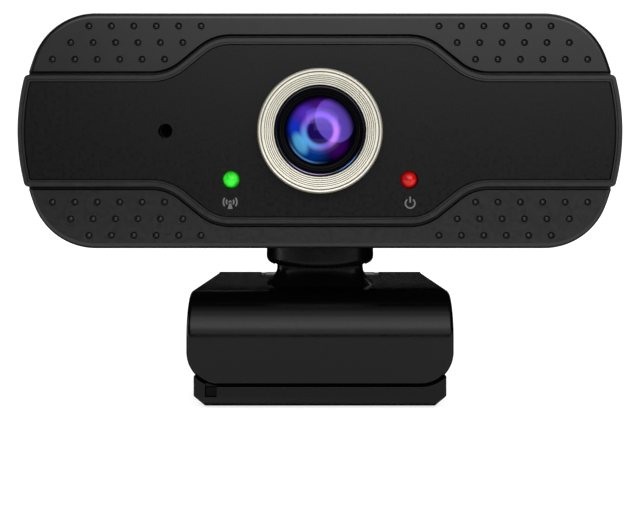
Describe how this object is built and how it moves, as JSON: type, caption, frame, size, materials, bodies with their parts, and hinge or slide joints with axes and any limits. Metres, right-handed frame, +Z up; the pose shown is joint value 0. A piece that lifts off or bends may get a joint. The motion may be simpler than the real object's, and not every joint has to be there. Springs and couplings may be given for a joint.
{
  "type": "webcam on a folding monitor clip",
  "caption": "Oval webcam head with a fixed-focus lens, panning and tilting on a folding monitor clip whose foot takes a tripod screw.",
  "frame": {"origin": "centre of the base resting plane, under the pan axis, with the clip folded", "axes": "+Z up, -Y the way the lens looks, +X to the right as seen from the front"},
  "size_m": [0.1, 0.0342, 0.065],
  "materials": {
    "clip_plastic": "fine satin black plastic",
    "pad_rubber": "soft matt rubber",
    "insert_brass": "turned brass",
    "pin_steel": "bright steel",
    "washer_plastic": "natural acetal",
    "washer_black": "black acetal",
    "shell_plastic": "finely moulded matt black plastic",
    "band_plastic": "matt dark grey plastic",
    "plate_plastic": "smooth dark plate",
    "ring_metal": "turned, champagne anodised",
    "lens_black": "anti-glare black",
    "barrel_metal": "black anodised",
    "coated_glass": "blue-violet coated glass",
    "inner_glass": "coated glass",
    "filter_glass": "green-blue filter glass",
    "sensor_ceramic": "sensor package",
    "board_green": "solder-masked circuit board",
    "chip_black": "moulded chip package",
    "parts_mixed": "surface-mount parts",
    "header_nylon": "natural nylon",
    "gland_rubber": "matt rubber",
    "lamp_green": "clear green lamp, lit",
    "lamp_red": "clear red lamp, lit",
    "mic_metal": "drawn can"
  },
  "bodies": {
    "foot": {"foot": "clip_plastic", "foot_pad": "pad_rubber", "screen_pad": "pad_rubber", "tripod_insert": "insert_brass", "hinge_pin": "pin_steel", "hinge_washers": "washer_black"},
    "bracket": {"top_bracket": "clip_plastic", "lip_pad": "pad_rubber", "top_pad": "pad_rubber", "neck_post": "clip_plastic", "neck_screw": "pin_steel"},
    "swivel": {"swivel_collar": "clip_plastic", "tilt_pin": "pin_steel", "pan_lock_washer": "pin_steel", "pan_screw": "pin_steel"},
    "head": {"pan_washer": "washer_plastic", "rear_shell": "shell_plastic", "front_bezel": "shell_plastic", "panel_frame": "band_plastic", "face_plate": "plate_plastic", "shell_screws": "pin_steel", "lens_ring": "ring_metal", "lens_hood": "lens_black", "lens_retainer": "lens_black", "front_lens": "coated_glass", "lens_barrel": "barrel_metal", "lens_stop": "lens_black", "middle_lens": "inner_glass", "lens_spacer": "lens_black", "rear_lens": "inner_glass", "ir_filter": "filter_glass", "lens_holder": "lens_black", "holder_screws": "pin_steel", "image_sensor": "sensor_ceramic", "main_board": "board_green", "processor": "chip_black", "board_parts": "parts_mixed", "board_screws": "pin_steel", "usb_header": "header_nylon", "cable_gland": "gland_rubber", "green_lamp": "lamp_green", "red_lamp": "lamp_red", "microphone": "mic_metal", "microphone_boot": "gland_rubber"}
  },
  "joints": [
    {"name": "clip_fold", "type": "hinge", "parent": "foot", "child": "bracket", "pos_m": [0, 0.0132, 0.0145], "axis": [-1, 0, 0], "range_deg": [0, 90]},
    {"name": "tilt", "type": "hinge", "parent": "bracket", "child": "swivel", "pos_m": [0, 0, 0.0249], "axis": [1, 0, 0], "range_deg": [-15, 15]},
    {"name": "pan", "type": "hinge", "parent": "swivel", "child": "head", "pos_m": [0, 0, 0.0309], "axis": [0, 0, 1], "continuous": true}
  ]
}
